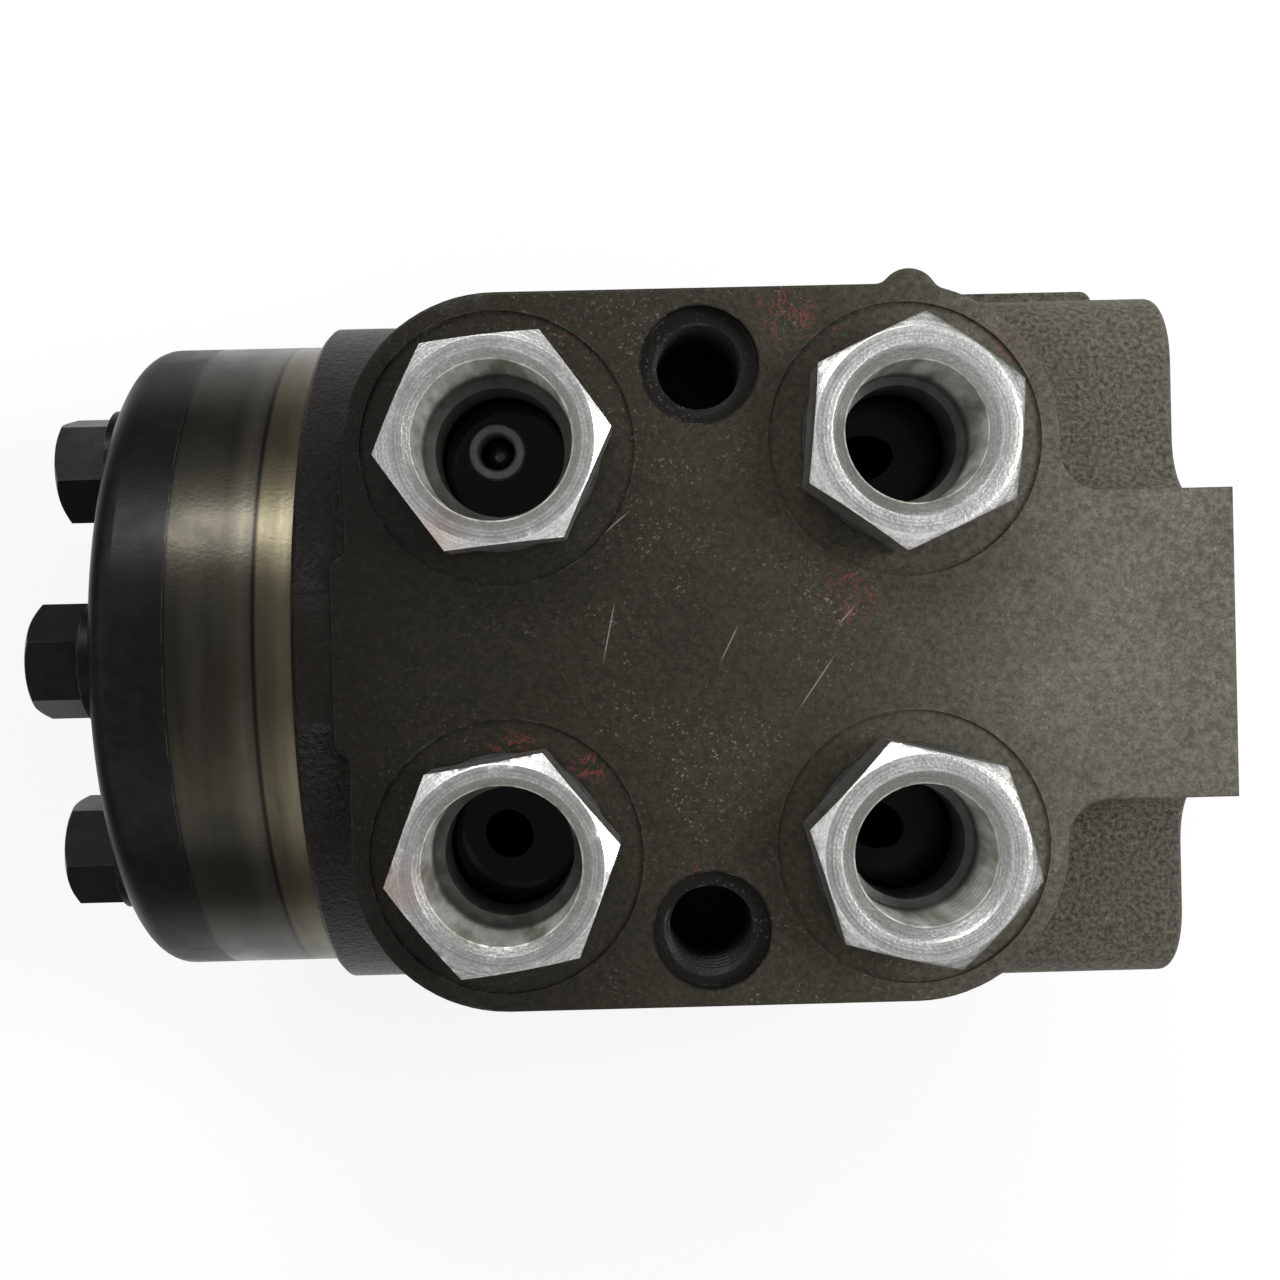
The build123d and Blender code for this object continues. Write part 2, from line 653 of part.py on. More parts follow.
def face_groove(face_x, inward):
    """Groove of a face seal; inward is the direction into the material along X."""
    x0, x1 = sorted((face_x, face_x + inward * o_ring_depth))
    inner, outer = o_ring_r - o_ring_width / 2, o_ring_r + o_ring_width / 2
    turned([(x0, inner), (x1, inner), (x1, outer), (x0, outer)], Mode.SUBTRACT)


def face_seal(face_x, inward, name):
    """O-ring pressed into its groove."""
    x0, x1 = sorted((face_x, face_x + inward * (o_ring_depth - seat_gap)))
    inner, outer = o_ring_r - o_ring_width / 2 + seat_gap, o_ring_r + o_ring_width / 2 - seat_gap
    corner = o_ring_depth / 3
    with BuildPart() as o_ring:
        turned([
            (x0, inner + corner), (x0 + corner, inner), (x1 - corner, inner), (x1, inner + corner),
            (x1, outer - corner), (x1 - corner, outer), (x0 + corner, outer), (x0, outer - corner),
        ])
    save(o_ring, name)


with BuildPart() as distributor_plate:
    washer_ring(plate_bore_r, gear_r, ring_right_x, gear_end_x)
    bolt_holes(ring_right_x, gear_end_x)
    for index in range(lobe_count):
        feed_place = around(bolt_circle_r - 2 * passage_r, index, 0.5)
        bar(passage_r, ring_right_x, gear_end_x, *feed_place, Mode.SUBTRACT)
    face_groove(ring_right_x, 1)
save(distributor_plate, "distributor_plate")

with BuildPart() as gerotor_ring:
    bar(gear_r, ring_left_x, ring_right_x)
    with BuildSketch(Plane.YZ.offset(ring_left_x)):
        Circle(valley_r)
        with Locations(*(around(lobe_pitch_r, index) for index in range(lobe_count))):
            Circle(lobe_r, mode=Mode.SUBTRACT)
    extrude(amount=gear_width, mode=Mode.SUBTRACT)
    bolt_holes(ring_left_x, ring_right_x)
save(gerotor_ring, "gerotor_ring")


def star_point(turn):
    """Point of the star: the path of the lobe centres, offset inwards by the lobe radius."""
    x = lobe_pitch_r * cos(turn) - orbit_e * cos(lobe_count * turn)
    y = lobe_pitch_r * sin(turn) - orbit_e * sin(lobe_count * turn)
    along_x = -lobe_pitch_r * sin(turn) + lobe_count * orbit_e * sin(lobe_count * turn)
    along_y = lobe_pitch_r * cos(turn) - lobe_count * orbit_e * cos(lobe_count * turn)
    inset = (lobe_r + mesh_gap) / hypot(along_x, along_y)
    return x - inset * along_y, y + inset * along_x


star_teeth = lobe_count - 1
tooth_turn = 2 * pi / star_teeth
points_per_tooth = 13
with BuildPart() as gerotor_star:
    star_plane = Plane(origin=(ring_left_x + seat_gap, 0, orbit_e), x_dir=(0, 0, 1), z_dir=(1, 0, 0))
    with BuildSketch(star_plane):
        with BuildLine():
            # one tooth, root to root, with the root's own direction at both ends
            for tooth in range(star_teeth):
                shares = [step / (points_per_tooth - 1) for step in range(points_per_tooth)]
                turns = [tooth_turn * (tooth + share) for share in shares]
                root_ways = [(-sin(turn), cos(turn)) for turn in (turns[0], turns[-1])]
                Spline(*(star_point(turn) for turn in turns), tangents=root_ways)
        make_face()
    extrude(amount=gear_width - 2 * seat_gap)
    with BuildSketch(star_plane) as star_spline:
        hole_core_r = head_core_r + spline_root_room
        spline_sketch(hole_core_r, head_r + spline_gap, head_tooth + 2 * spline_gap)
    extrude(amount=gear_width, mode=Mode.SUBTRACT)
save(gerotor_star, "gerotor_star")

with BuildPart() as end_cover:
    bar(gear_r, cover_left_x, ring_left_x)
    fillet(end_cover.edges().sort_by(Axis.X)[0], cover_edge_r)
    bolt_holes(cover_left_x, ring_left_x)
    face_groove(ring_left_x, -1)
save(end_cover, "end_cover")

face_seal(gear_end_x, 1, "o_ring_housing")
face_seal(ring_right_x, 1, "o_ring_plate")
face_seal(ring_left_x, -1, "o_ring_cover")

# ======== cover bolts and washers ========
head_turns = (50.5, 19.5, 41.0, 3.0, 52.0, 33.0, 15.3)
head_x = cover_left_x - washer_thickness
for index in range(lobe_count):
    bolt_place = around(bolt_circle_r, index)
    is_pin_bolt = index == lobe_count - 1
    with BuildPart() as cover_bolt:
        head_base = Plane(origin=(head_x, *bolt_place), x_dir=(0, 1, 0), z_dir=(-1, 0, 0))
        hex_head(head_base, bolt_head_flats, bolt_head_height, head_turns[index])
        bar(bolt_r, head_x, gear_end_x + bolt_grip, *bolt_place)
        chamfer(cover_bolt.edges().sort_by(Axis.X)[-1], bolt_chamfer)
        if is_pin_bolt:
            bar(roll_pin_r, gear_end_x + bolt_grip, roll_pin_x - seat_gap, *bolt_place)
    save(cover_bolt, "pin_bolt" if is_pin_bolt else f"cover_bolt_{index + 1}")

    with BuildPart() as cover_washer:
        bar(washer_r, head_x, cover_left_x, *bolt_place)
        bar(bolt_hole_r, head_x, cover_left_x, *bolt_place, Mode.SUBTRACT)
    save(cover_washer, f"cover_washer_{index + 1}")
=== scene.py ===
import json
from math import pi, radians

import bpy
from bpy.props import FloatProperty, FloatVectorProperty, PointerProperty
from bpy.types import Operator, Panel, PropertyGroup
from mathutils import Matrix, Vector

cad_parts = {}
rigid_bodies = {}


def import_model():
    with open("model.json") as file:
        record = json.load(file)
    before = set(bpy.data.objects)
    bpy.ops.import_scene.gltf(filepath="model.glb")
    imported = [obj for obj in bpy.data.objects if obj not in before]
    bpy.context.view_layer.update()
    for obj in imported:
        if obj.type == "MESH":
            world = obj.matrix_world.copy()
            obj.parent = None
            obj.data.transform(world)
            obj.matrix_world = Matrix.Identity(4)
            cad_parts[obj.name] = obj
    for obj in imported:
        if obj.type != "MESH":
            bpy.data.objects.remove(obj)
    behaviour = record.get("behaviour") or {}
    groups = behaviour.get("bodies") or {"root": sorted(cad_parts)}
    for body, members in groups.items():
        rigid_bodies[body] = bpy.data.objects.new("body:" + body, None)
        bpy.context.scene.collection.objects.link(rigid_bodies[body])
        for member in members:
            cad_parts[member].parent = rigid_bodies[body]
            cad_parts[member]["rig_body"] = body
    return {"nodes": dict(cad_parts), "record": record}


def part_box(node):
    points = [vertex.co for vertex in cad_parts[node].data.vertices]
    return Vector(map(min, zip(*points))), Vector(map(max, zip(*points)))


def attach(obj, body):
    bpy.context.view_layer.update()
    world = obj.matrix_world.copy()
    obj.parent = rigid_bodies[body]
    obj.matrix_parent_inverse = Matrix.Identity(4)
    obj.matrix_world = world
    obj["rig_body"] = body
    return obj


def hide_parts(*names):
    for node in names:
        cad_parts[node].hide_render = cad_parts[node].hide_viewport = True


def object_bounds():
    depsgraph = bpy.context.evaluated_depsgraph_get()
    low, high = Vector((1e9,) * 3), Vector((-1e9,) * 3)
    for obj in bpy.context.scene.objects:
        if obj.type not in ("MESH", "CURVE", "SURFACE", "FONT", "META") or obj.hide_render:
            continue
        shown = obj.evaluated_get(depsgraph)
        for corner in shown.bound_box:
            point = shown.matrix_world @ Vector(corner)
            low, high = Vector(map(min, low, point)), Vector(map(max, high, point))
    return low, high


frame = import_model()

bl_info = {
    "name": "Hydraulic steering unit",
    "version": (1, 0, 0),
    "blender": (4, 5, 0),
    "location": "View3D > Sidebar > Steering unit",
    "description": "Builds the finished pieces of an orbital steering unit around its CAD frame",
    "category": "Object",
}

MM = 0.001
CAD_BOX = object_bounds()
NODES = frame["nodes"]
PORTS = ("p", "t", "r", "l")
RUBBER_PARTS = ("dust_seal", "shaft_seal", "o_ring_housing", "o_ring_plate", "o_ring_cover")
GROUND_PARTS = (
    "spool",
    "sleeve",
    "cross_pin",
    "cardan_shaft",
    "cardan_spacer",
    "gerotor_star",
    "roll_pin",
    "bearing_race_outer",
    "bearing_race_inner",
    "needle_thrust_cage",
)
BLUED_PARTS = ("leaf_springs_flat", "leaf_springs_arched", "spring_retaining_ring")
MOUNTS = {mount["name"]: mount for mount in frame["record"]["mounts"]}
PLATE_BOLTS = MOUNTS["plate_bolts"]
PLATE_HOLE_X = PLATE_BOLTS["pos_m"][0]
PLATE_HOLE_Y = PLATE_BOLTS["dims"]["spacing_y_mm"] / 2 * MM

# the two threads of the casting: pitch, depth and length
PLATE_PITCH, PLATE_DEPTH, PLATE_LENGTH = 1.75 * MM, 0.9 * MM, 18 * MM
COLUMN_PITCH, COLUMN_DEPTH, COLUMN_LENGTH = 1.5 * MM, 0.75 * MM, 15 * MM
# room between the core of a column hole's cutter and the drilled wall, so that the cut closes
CORE_ROOM = 0.02 * MM

# points of a cutter nearer than this are one
MERGE_REACH = 0.01 * MM
CUTTER_STEPS = 40
# bevel of the adapters' edges, and the angles past which an edge is bevelled or stays sharp
ADAPTER_BEVEL = 0.10 * MM
BEVEL_ANGLE = radians(24)
SHARP_ANGLE = radians(28)

# heights and distances that tell one surface of the casting from another, in metres
FACE_BAND = (0.0466, 0.0469)
END_FACE_BAND = (-0.0006, -0.0003)
BOLT_HOLE_REACH = 0.0073
PILOT_REACH = 0.0216
PORT_REACH = 0.0108
# below this level the ports are darkened with oil and painted shade
WET_SHADE_LEVEL = 0.0445
# stations along the casting between its gear end and its mounting end; between them the casting's colour goes
# from painted shade at the gear end to a painted sheen at the mounting end
GEAR_END_X = -0.110
HALF_LIT_X = -0.050
SHEEN_RISE_X = (-0.049, -0.010)

# traces of marking paint on the port face: X, Y and reach in metres
PAINT_TRACES = (
    (-0.0535, 0.0400, 0.0045),
    (-0.0475, 0.0385, 0.0015),
    (-0.0275, 0.0350, 0.0030),
    (-0.0870, -0.0125, 0.0040),
    (-0.0800, 0.0375, 0.0012),
    (-0.0785, -0.0140, 0.0030),
    (-0.0665, -0.0265, 0.0014),
    (-0.0465, 0.0060, 0.0045),
)
# scratches on the port face: X, Y and half length in metres, turn in degrees
SCRATCHES = (
    (-0.0756, 0.0022, 0.0038, 78),
    (-0.0612, 0.0004, 0.0026, 63),
    (-0.0508, -0.0045, 0.0042, 55),
    (-0.0745, 0.0152, 0.0022, 40),
    (-0.0470, 0.0035, 0.0016, 48),
)
# pitch of the turning rings on the adapters, half width of the bright band on a rim, and the distance
# of the rims' painted brown reflection from the middle, on the -Y side
RING_PITCH = 0.00048
BRIGHT_BAND = 0.0022
RIM_REFLECTION_Y = 0.009
# heights between which an adapter's bore turns from painted shade to its own colour
DEEP_BAND = (0.0446, 0.0470)
OXIDE_EDGE = 0.0004
# warm painted reflections on the corner facets of two adapters: X and Y in metres
ADAPTER_REFLECTIONS = {"p": (-0.0955, 0.0133), "t": (-0.1010, -0.0265)}
# area lamps: name, place and size in metres, power in watts
LAMPS = (
    ("lamp_end", (0.42, 0.06, 0.52), (0.26, 0.34), 2.6),
    ("lamp_side", (-0.20, 0.52, 0.50), (0.46, 0.14), 1.9),
)
LAMP_AIM = Vector((-0.06, 0, 0.03))
FLOOR_R = 4
# middle of the glow that reflections see on the floor, and where it starts and ends its fall
GLOW_CENTRE = (-0.07, 0, 0)
GLOW_REACH = (0.12, 0.50)


def port_axis(name):
    """Centre line of one port adapter, in X and Y."""
    low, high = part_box(f"port_adapter_{name}")
    return (low[0] + high[0]) / 2, (low[1] + high[1]) / 2


# ---- node helpers ----
class Finish:
    """Node tree of one surface finish, with its Principled shader at hand."""

    def __init__(self, name, metallic=0.0, roughness=0.5, **sockets):
        self.material = bpy.data.materials.new(name)
        self.material.use_nodes = True
        self.tree = self.material.node_tree
        self.shader = self.tree.nodes["Principled BSDF"]
        self.shader.inputs["Metallic"].default_value = metallic
        self.shader.inputs["Roughness"].default_value = roughness
        for socket, value in sockets.items():
            self.shader.inputs[socket.replace("_", " ")].default_value = value
        self.place = self.add("ShaderNodeTexCoord").outputs["Object"]

    def add(self, kind, settings=None, **inputs):
        """A node with its settings, and values or links on its inputs."""
        new = self.tree.nodes.new(kind)
        for key, value in (settings or {}).items():
            setattr(new, key, value)
        for key, value in inputs.items():
            numbered = key[0] == "i" and key[1:].isdigit()
            socket = new.inputs[int(key[1:]) if numbered else key.replace("_", " ")]
            if isinstance(value, bpy.types.NodeSocket):
                self.tree.links.new(value, socket)
            else:
                socket.default_value = value
        return new

    def noise(self, scale, detail=4.0, roughness=0.55, vector=None, distortion=0.0):
        """Noise value, with its scale in features per metre."""
        return self.add("ShaderNodeTexNoise", Vector=vector or self.place, Scale=scale, Detail=detail,
                        Roughness=roughness, Distortion=distortion).outputs["Fac"]

    def math(self, operation, a, b=0.0, c=0.0, clamp=False):
        settings = {"operation": operation, "use_clamp": clamp}
        return self.add("ShaderNodeMath", settings, i0=a, i1=b, i2=c).outputs[0]

    def span(self, value, low, high, to_low=0.0, to_high=1.0):
        """Value mapped from one span to another and clamped."""
        return self.add("ShaderNodeMapRange", {"clamp": True}, Value=value, From_Min=low, From_Max=high,
                        To_Min=to_low, To_Max=to_high).outputs["Result"]

    def blend(self, share, first, second):
        """Mixed colour of two colours or sockets."""
        new = self.add("ShaderNodeMix", {"data_type": "RGBA"})
        for index, value in ((0, share), (6, first), (7, second)):
            if isinstance(value, bpy.types.NodeSocket):
                self.tree.links.new(value, new.inputs[index])
            else:
                new.inputs[index].default_value = value if index == 0 else (*value[:3], 1.0)
        return new.outputs[2]

    def axis(self, name, vector=None):
        """One coordinate of the object space."""
        return self.add("ShaderNodeSeparateXYZ", Vector=vector or self.place).outputs[name]

    def moved(self, location=(0, 0, 0), rotation=(0, 0, 0), scale=(1, 1, 1)):
        """Object space centred and turned on a piece."""
        return self.add("ShaderNodeMapping", {"vector_type": "TEXTURE"}, Vector=self.place, Location=location,
                        Rotation=rotation, Scale=scale).outputs["Vector"]

    def radius(self, centre, flat="Z"):
        """Distance from a line through a centre, along Z or along X."""
        kept = {"Z": (1, 1, 0), "X": (0, 1, 1)}[flat]
        kind = "ShaderNodeVectorMath"
        shifted = self.add(kind, {"operation": "SUBTRACT"}, i0=self.place, i1=centre).outputs[0]
        level = self.add(kind, {"operation": "MULTIPLY"}, i0=shifted, i1=kept).outputs[0]
        return self.add(kind, {"operation": "LENGTH"}, i0=level).outputs["Value"]

    def edge(self, radius, low=0.02, high=0.25):
        """Share that is 1 on sharp edges and 0 on flats, for wear."""
        soft = self.add("ShaderNodeBevel", {"samples": 6}, Radius=radius).outputs[0]
        true = self.add("ShaderNodeNewGeometry").outputs["True Normal"]
        dot = self.add("ShaderNodeVectorMath", {"operation": "DOT_PRODUCT"}, i0=soft, i1=true)
        return self.span(self.math("SUBTRACT", 1.0, dot.outputs["Value"]), low, high)

    def bump(self, height, distance, strength=1.0, normal=None):
        new = self.add("ShaderNodeBump", Height=height, Distance=distance, Strength=strength)
        if normal is not None:
            self.tree.links.new(normal, new.inputs["Normal"])
        return new.outputs["Normal"]

    def colour(self, socket):
        self.tree.links.new(socket, self.shader.inputs["Base Color"])

    def mottle(self, scale, band, first, second):
        """Base colour that drifts between two colours."""
        self.colour(self.blend(self.span(self.noise(scale), *band), first, second))

    def rough(self, socket):
        self.tree.links.new(socket, self.shader.inputs["Roughness"])

    def normal(self, socket):
        self.tree.links.new(socket, self.shader.inputs["Normal"])


def shade(colour, factor):
    """A colour made darker or lighter."""
    return [channel * factor for channel in colour]


def paint(piece, finish):
    """Puts a finish on every slot of a piece."""
    if not piece.material_slots:
        piece.data.materials.append(finish.material)
    for held in piece.material_slots:
        held.material = finish.material


# ---- modelling helpers ----
def start():
    """Nothing selected, so that an operator acts only on the piece it makes."""
    if bpy.context.mode != "OBJECT":
        bpy.ops.object.mode_set(mode="OBJECT")
    bpy.ops.object.select_all(action="DESELECT")


def only(piece):
    """One piece selected and active."""
    start()
    piece.select_set(True)
    bpy.context.view_layer.objects.active = piece


def rod(radius, low, high, sides):
    """Closed cylinder on the Z axis between two heights, its place in its mesh."""
    start()
    bpy.ops.mesh.primitive_cone_add(vertices=sides, radius1=radius, radius2=radius, depth=high - low,
                                    location=(0, 0, (low + high) / 2))
    bpy.ops.object.transform_apply(location=True, rotation=True, scale=True)
    return bpy.context.object


def join_by(piece, other, operation):
    """Boolean with another closed piece, which is then removed."""
    only(piece)
    cut = piece.modifiers.new("cut", "BOOLEAN")
    cut.operation = operation
    cut.solver = "EXACT"
    cut.object = other
    bpy.ops.object.modifier_apply(modifier=cut.name)
    bpy.data.objects.remove(other)


def tap(minor, major, pitch, low, high, centre, axis="Z"):
    """Screw-shaped closed cutter for a tapped hole, along Z or X."""
    start()
    crest, root = 0.22 * pitch, 0.10 * pitch
    start_z = low - 2 * pitch
    turns = int((high - low) / pitch) + 4
    profile = [(minor, 0), (minor, crest), (major, pitch / 2 - root / 2 + crest / 2),
               (major, pitch / 2 + root / 2 + crest / 2), (minor, pitch)]
    mesh = bpy.data.meshes.new("tap")
    mesh.from_pydata([(x, 0, start_z + z) for x, z in profile], [(i, i + 1) for i in range(4)], [])
    piece = bpy.data.objects.new("tap", mesh)
    bpy.context.collection.objects.link(piece)
    only(piece)
    screw = piece.modifiers.new("screw", "SCREW")
    screw.screw_offset = pitch
    screw.iterations = turns
    screw.steps = screw.render_steps = CUTTER_STEPS
    screw.use_merge_vertices = True
    screw.merge_threshold = MERGE_REACH
    screw.use_smooth_shade = False
    bpy.ops.object.modifier_apply(modifier="screw")
    bpy.ops.object.mode_set(mode="EDIT")
    bpy.ops.mesh.select_all(action="SELECT")
    bpy.ops.mesh.remove_doubles(threshold=MERGE_REACH)
    bpy.ops.mesh.fill_holes(sides=0)
    bpy.ops.mesh.select_all(action="SELECT")
    bpy.ops.mesh.normals_make_consistent(inside=False)
    bpy.ops.object.mode_set(mode="OBJECT")
    join_by(piece, rod(major + pitch, low, high, sides=24), "INTERSECT")
    if axis == "Z":
        piece.data.transform(Matrix.Translation((*centre, 0)))
    else:
        piece.data.transform(Matrix.Translation((0, *centre)) @ Matrix.Rotation(pi / 2, 4, "Y"))
    return piece


def copy_of(node, name):
    """Merged copy of a CAD node's mesh, as a new piece."""
    start()
    piece = bpy.data.objects.new(name, NODES[node].data.copy())
    bpy.context.collection.objects.link(piece)
    only(piece)
    bpy.ops.object.mode_set(mode="EDIT")
    bpy.ops.mesh.select_all(action="SELECT")
    bpy.ops.mesh.remove_doubles(threshold=0.002 * MM)
    bpy.ops.object.mode_set(mode="OBJECT")
    bpy.ops.mesh.customdata_custom_splitnormals_clear()
    return piece


def finished(piece, name, node, finish):
    """Shades a piece, puts it on its node's body and gives it its finish."""
    only(piece)
    piece.name = piece.data.name = name
    bpy.ops.object.shade_smooth_by_angle(angle=SHARP_ANGLE)
    piece.data.materials.clear()
    paint(piece, finish)
    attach(piece, NODES[node]["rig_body"])
    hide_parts(node)


# ---- sizes and colours a user may change ----
def colour_prop(name, text, value):
    return FloatVectorProperty(name=name, description=text, subtype="COLOR", size=3, min=0, max=1,
                               default=value)


def length_prop(name, text, value):
    return FloatProperty(name=name, description=text, subtype="DISTANCE", unit="LENGTH", precision=5,
                         default=value)


class CastingSettings(PropertyGroup):
    """Looks of the cast housing."""

    # these three colours are painted light over the whole casting: painted shade at the gear end, a painted
    # sheen of the lamp at the mounting end
    gear_end_shade_colour: colour_prop("Face in painted shade", "Machined face at the gear end", (0.0075, 0.0062, 0.0040))
    half_lit_face_colour: colour_prop("Half-lit face", "Machined face between the ports", (0.0300, 0.0270, 0.0170))
    mounting_end_sheen_colour: colour_prop("Face in painted sheen", "Machined face at the mounting end", (0.105, 0.096, 0.075))
    worn_colour: colour_prop("Worn metal", "Colour of pits, scratches and worn edges", (0.34, 0.33, 0.30))
    paint_colour: colour_prop("Marking paint", "Colour of the traces of marking paint", (0.20, 0.045, 0.035))
    oil_and_shade_colour: colour_prop("Oil", "Colour of the oil and painted shade in the holes", (0.003, 0.003, 0.0035))
    edge_wear: length_prop("Edge wear", "Width of the worn line along the edges", 0.0005)


class AdapterSettings(PropertyGroup):
    """Sizes and looks of the port adapters and the check valve."""

    zinc_colour: colour_prop("Zinc plate", "Colour of the plated adapters", (0.66, 0.66, 0.64))
    # the warm tint on the corners is a painted reflection
    tint_colour: colour_prop("Tint", "Colour of the warm stain on some corners", (0.55, 0.42, 0.38))
    bore_shade_colour: colour_prop("Painted shade in a port", "Colour of the painted shade deep in a port", (0.05, 0.05, 0.045))
    ball_colour: colour_prop("Ball", "Colour of the check ball", (0.10, 0.10, 0.10))
    seat_colour: colour_prop("Valve seat", "Colour of the ring round the ball", (0.34, 0.36, 0.38))
    thread_pitch: length_prop("Thread pitch", "Pitch of the threads in the ports", 0.0015)
    thread_depth: length_prop("Thread depth", "Depth of the threads in the ports", 0.00010)


class StackSettings(PropertyGroup):
    """Looks of the gear set, the plate, the cover and its bolts."""

    cover_colour: colour_prop("Cover", "Colour of the oxidised end cover", (0.0050, 0.0052, 0.0050))
    bolt_colour: colour_prop("Bolts", "Colour of the oxidised bolts and washers", (0.0045, 0.0045, 0.0043))
    ring_colour: colour_prop("Ring", "Colour of the gear ring's rim", (0.036, 0.033, 0.025))
    plate_colour: colour_prop("Plate", "Colour of the distributor plate's rim", (0.080, 0.071, 0.046))
    # the rims' brown tint is a painted reflection
    rim_reflection_colour: colour_prop("Painted reflection", "Colour of the brown stain on the rims", (0.060, 0.034, 0.024))
    seam_colour: colour_prop("Seams", "Colour of the oily seams between the rims", (0.008, 0.008, 0.007))


class StageSettings(PropertyGroup):
    """Floor, lamps and camera."""

    floor_colour: colour_prop("Floor", "Colour of the floor", (0.80, 0.80, 0.80))
    horizon: FloatProperty(name="Horizon", description="Light near the horizon", default=0.12)
    window: FloatProperty(name="Windows", description="Band of light half way up", default=1.15)
    overhead: FloatProperty(name="Overhead", description="Soft light from above", default=0.27)
    lens: FloatProperty(name="Lens", description="Focal length of the camera", unit="CAMERA", default=44.61)
    camera_place: FloatVectorProperty(name="Camera", description="Place of the camera",
                                      subtype="TRANSLATION", size=3, precision=5,
                                      default=(-0.07396, 0.00233, 0.23833))
    camera_turn: FloatVectorProperty(name="Camera turn", description="Turns about X, Y and Z",
                                     subtype="EULER", size=3,
                                     default=(radians(0.354), radians(0.623), radians(1.373)))


# ---- finishes ----
def cast_finish(look):
    """Phosphated cast iron: satin machined face, pebbled cast skin, holes dark with oil and painted shade,
    worn edges, and painted shade at the gear end turning to a painted sheen at the mounting end.
    """
    cast = Finish("cast_housing", metallic=0.0, roughness=0.5, Specular_IOR_Level=0.20)
    height = cast.axis("Z")
    face = cast.span(height, *FACE_BAND)
    # the holes are drilled from the port face and end above the input axis
    drilled = cast.math("GREATER_THAN", height, 0.0)
    holes = 0.0
    for y in (-PLATE_HOLE_Y, PLATE_HOLE_Y):
        near = cast.math("LESS_THAN", cast.radius((PLATE_HOLE_X, y, 0)), BOLT_HOLE_REACH)
        holes = cast.math("MAXIMUM", holes, near)
    holes = cast.math("MULTIPLY", holes, drilled)
    along = cast.axis("X")
    end_face = cast.span(along, *END_FACE_BAND)
    turned = cast.math("LESS_THAN", cast.radius((0, 0, 0), "X"), PILOT_REACH)
    upper = cast.math("MAXIMUM", face, holes)
    machined = cast.math("MAXIMUM", upper, cast.math("MAXIMUM", end_face, turned))

    # machined face: broad clouds and fine speckle; the whole casting goes from painted shade at the gear end
    # to a painted sheen at the mounting end
    broad = cast.span(cast.noise(34, 5, 0.6), 0.36, 0.64)
    fine = cast.span(cast.noise(1300, 6, 0.8), 0.40, 0.66)
    grain = cast.math("ADD", cast.math("MULTIPLY", broad, 0.35), cast.math("MULTIPLY", fine, 0.95))
    # cast skin: pebbles under a millimetre across
    pebbles = cast.noise(1500, 4, 0.6)
    skin = cast.span(pebbles, 0.34, 0.68, 0.15, 1.35)
    # painted shade at the gear end, turning to a painted sheen at the mounting end
    lit_tone = cast.blend(cast.span(along, GEAR_END_X, HALF_LIT_X), look.gear_end_shade_colour, look.half_lit_face_colour)
    lit_tone = cast.blend(cast.span(along, *SHEEN_RISE_X), lit_tone, look.mounting_end_sheen_colour)
    least = cast.blend(machined, (0.30,) * 3, (0.45,) * 3)
    strength = cast.math("ADD", least, cast.blend(machined, skin, grain))
    base = cast.add("ShaderNodeVectorMath", {"operation": "SCALE"}, i0=lit_tone, Scale=strength).outputs[0]
    # bolt holes darkened with oil and painted shade
    base = cast.blend(cast.math("MULTIPLY", holes, 0.8), base, look.oil_and_shade_colour)

    # light specks in drifts, fewest at the gear end
    drift = cast.math("MULTIPLY", cast.span(cast.noise(70, 3, 0.6), 0.46, 0.62, 0.15, 1.0),
                      cast.span(along, GEAR_END_X, -0.060, 0.1, 1.0))
    specks = cast.math("MULTIPLY", cast.span(cast.noise(2300, 3, 0.6), 0.60, 0.72), drift)
    base = cast.blend(cast.math("MULTIPLY", specks, 0.42), base, look.worn_colour)

    base = face_marks(cast, look, base, face)

    # chipped edges, most of them at the mounting end, and holes wet with oil, darkened further as painted
    # shade
    patches = cast.span(cast.noise(420, 3), 0.50, 0.64)
    chipped = cast.math("MULTIPLY", cast.edge(look.edge_wear, 0.08, 0.3), patches)
    share = cast.span(along, -0.004, 0.0, 0.16, 0.85)
    base = cast.blend(cast.math("MULTIPLY", chipped, share), base, look.worn_colour)
    # oil and painted shade inside the ports, below the wet level
    oily = cast.math("MULTIPLY", oil_and_shade_ports(cast, height), drilled)
    base = cast.blend(oily, base, look.oil_and_shade_colour)
    cast.colour(base)

    # sheen, glossiest at the gear end, and relief: pebbled skin and finely tooled faces
    mean = cast.math("ADD", cast.math("MULTIPLY", fine, 0.5), cast.math("MULTIPLY", broad, 0.5))
    satin = cast.span(mean, 0, 1, 0.58, 0.42)
    satin = cast.math("SUBTRACT", satin, cast.span(along, GEAR_END_X, -0.030, 0.18, 0.0))
    cast.rough(cast.math("SUBTRACT", satin, cast.math("MULTIPLY", oily, 0.3)))
    unworked = cast.math("SUBTRACT", 1.0, cast.math("MAXIMUM", machined, oily))
    skin_bump = cast.bump(cast.math("MULTIPLY", pebbles, unworked), 0.0007, 1.0)
    tooled = cast.math("MULTIPLY", cast.noise(2300, 4, 0.6), machined)
    cast.normal(cast.bump(tooled, 0.00008, 0.8, skin_bump))
    return cast


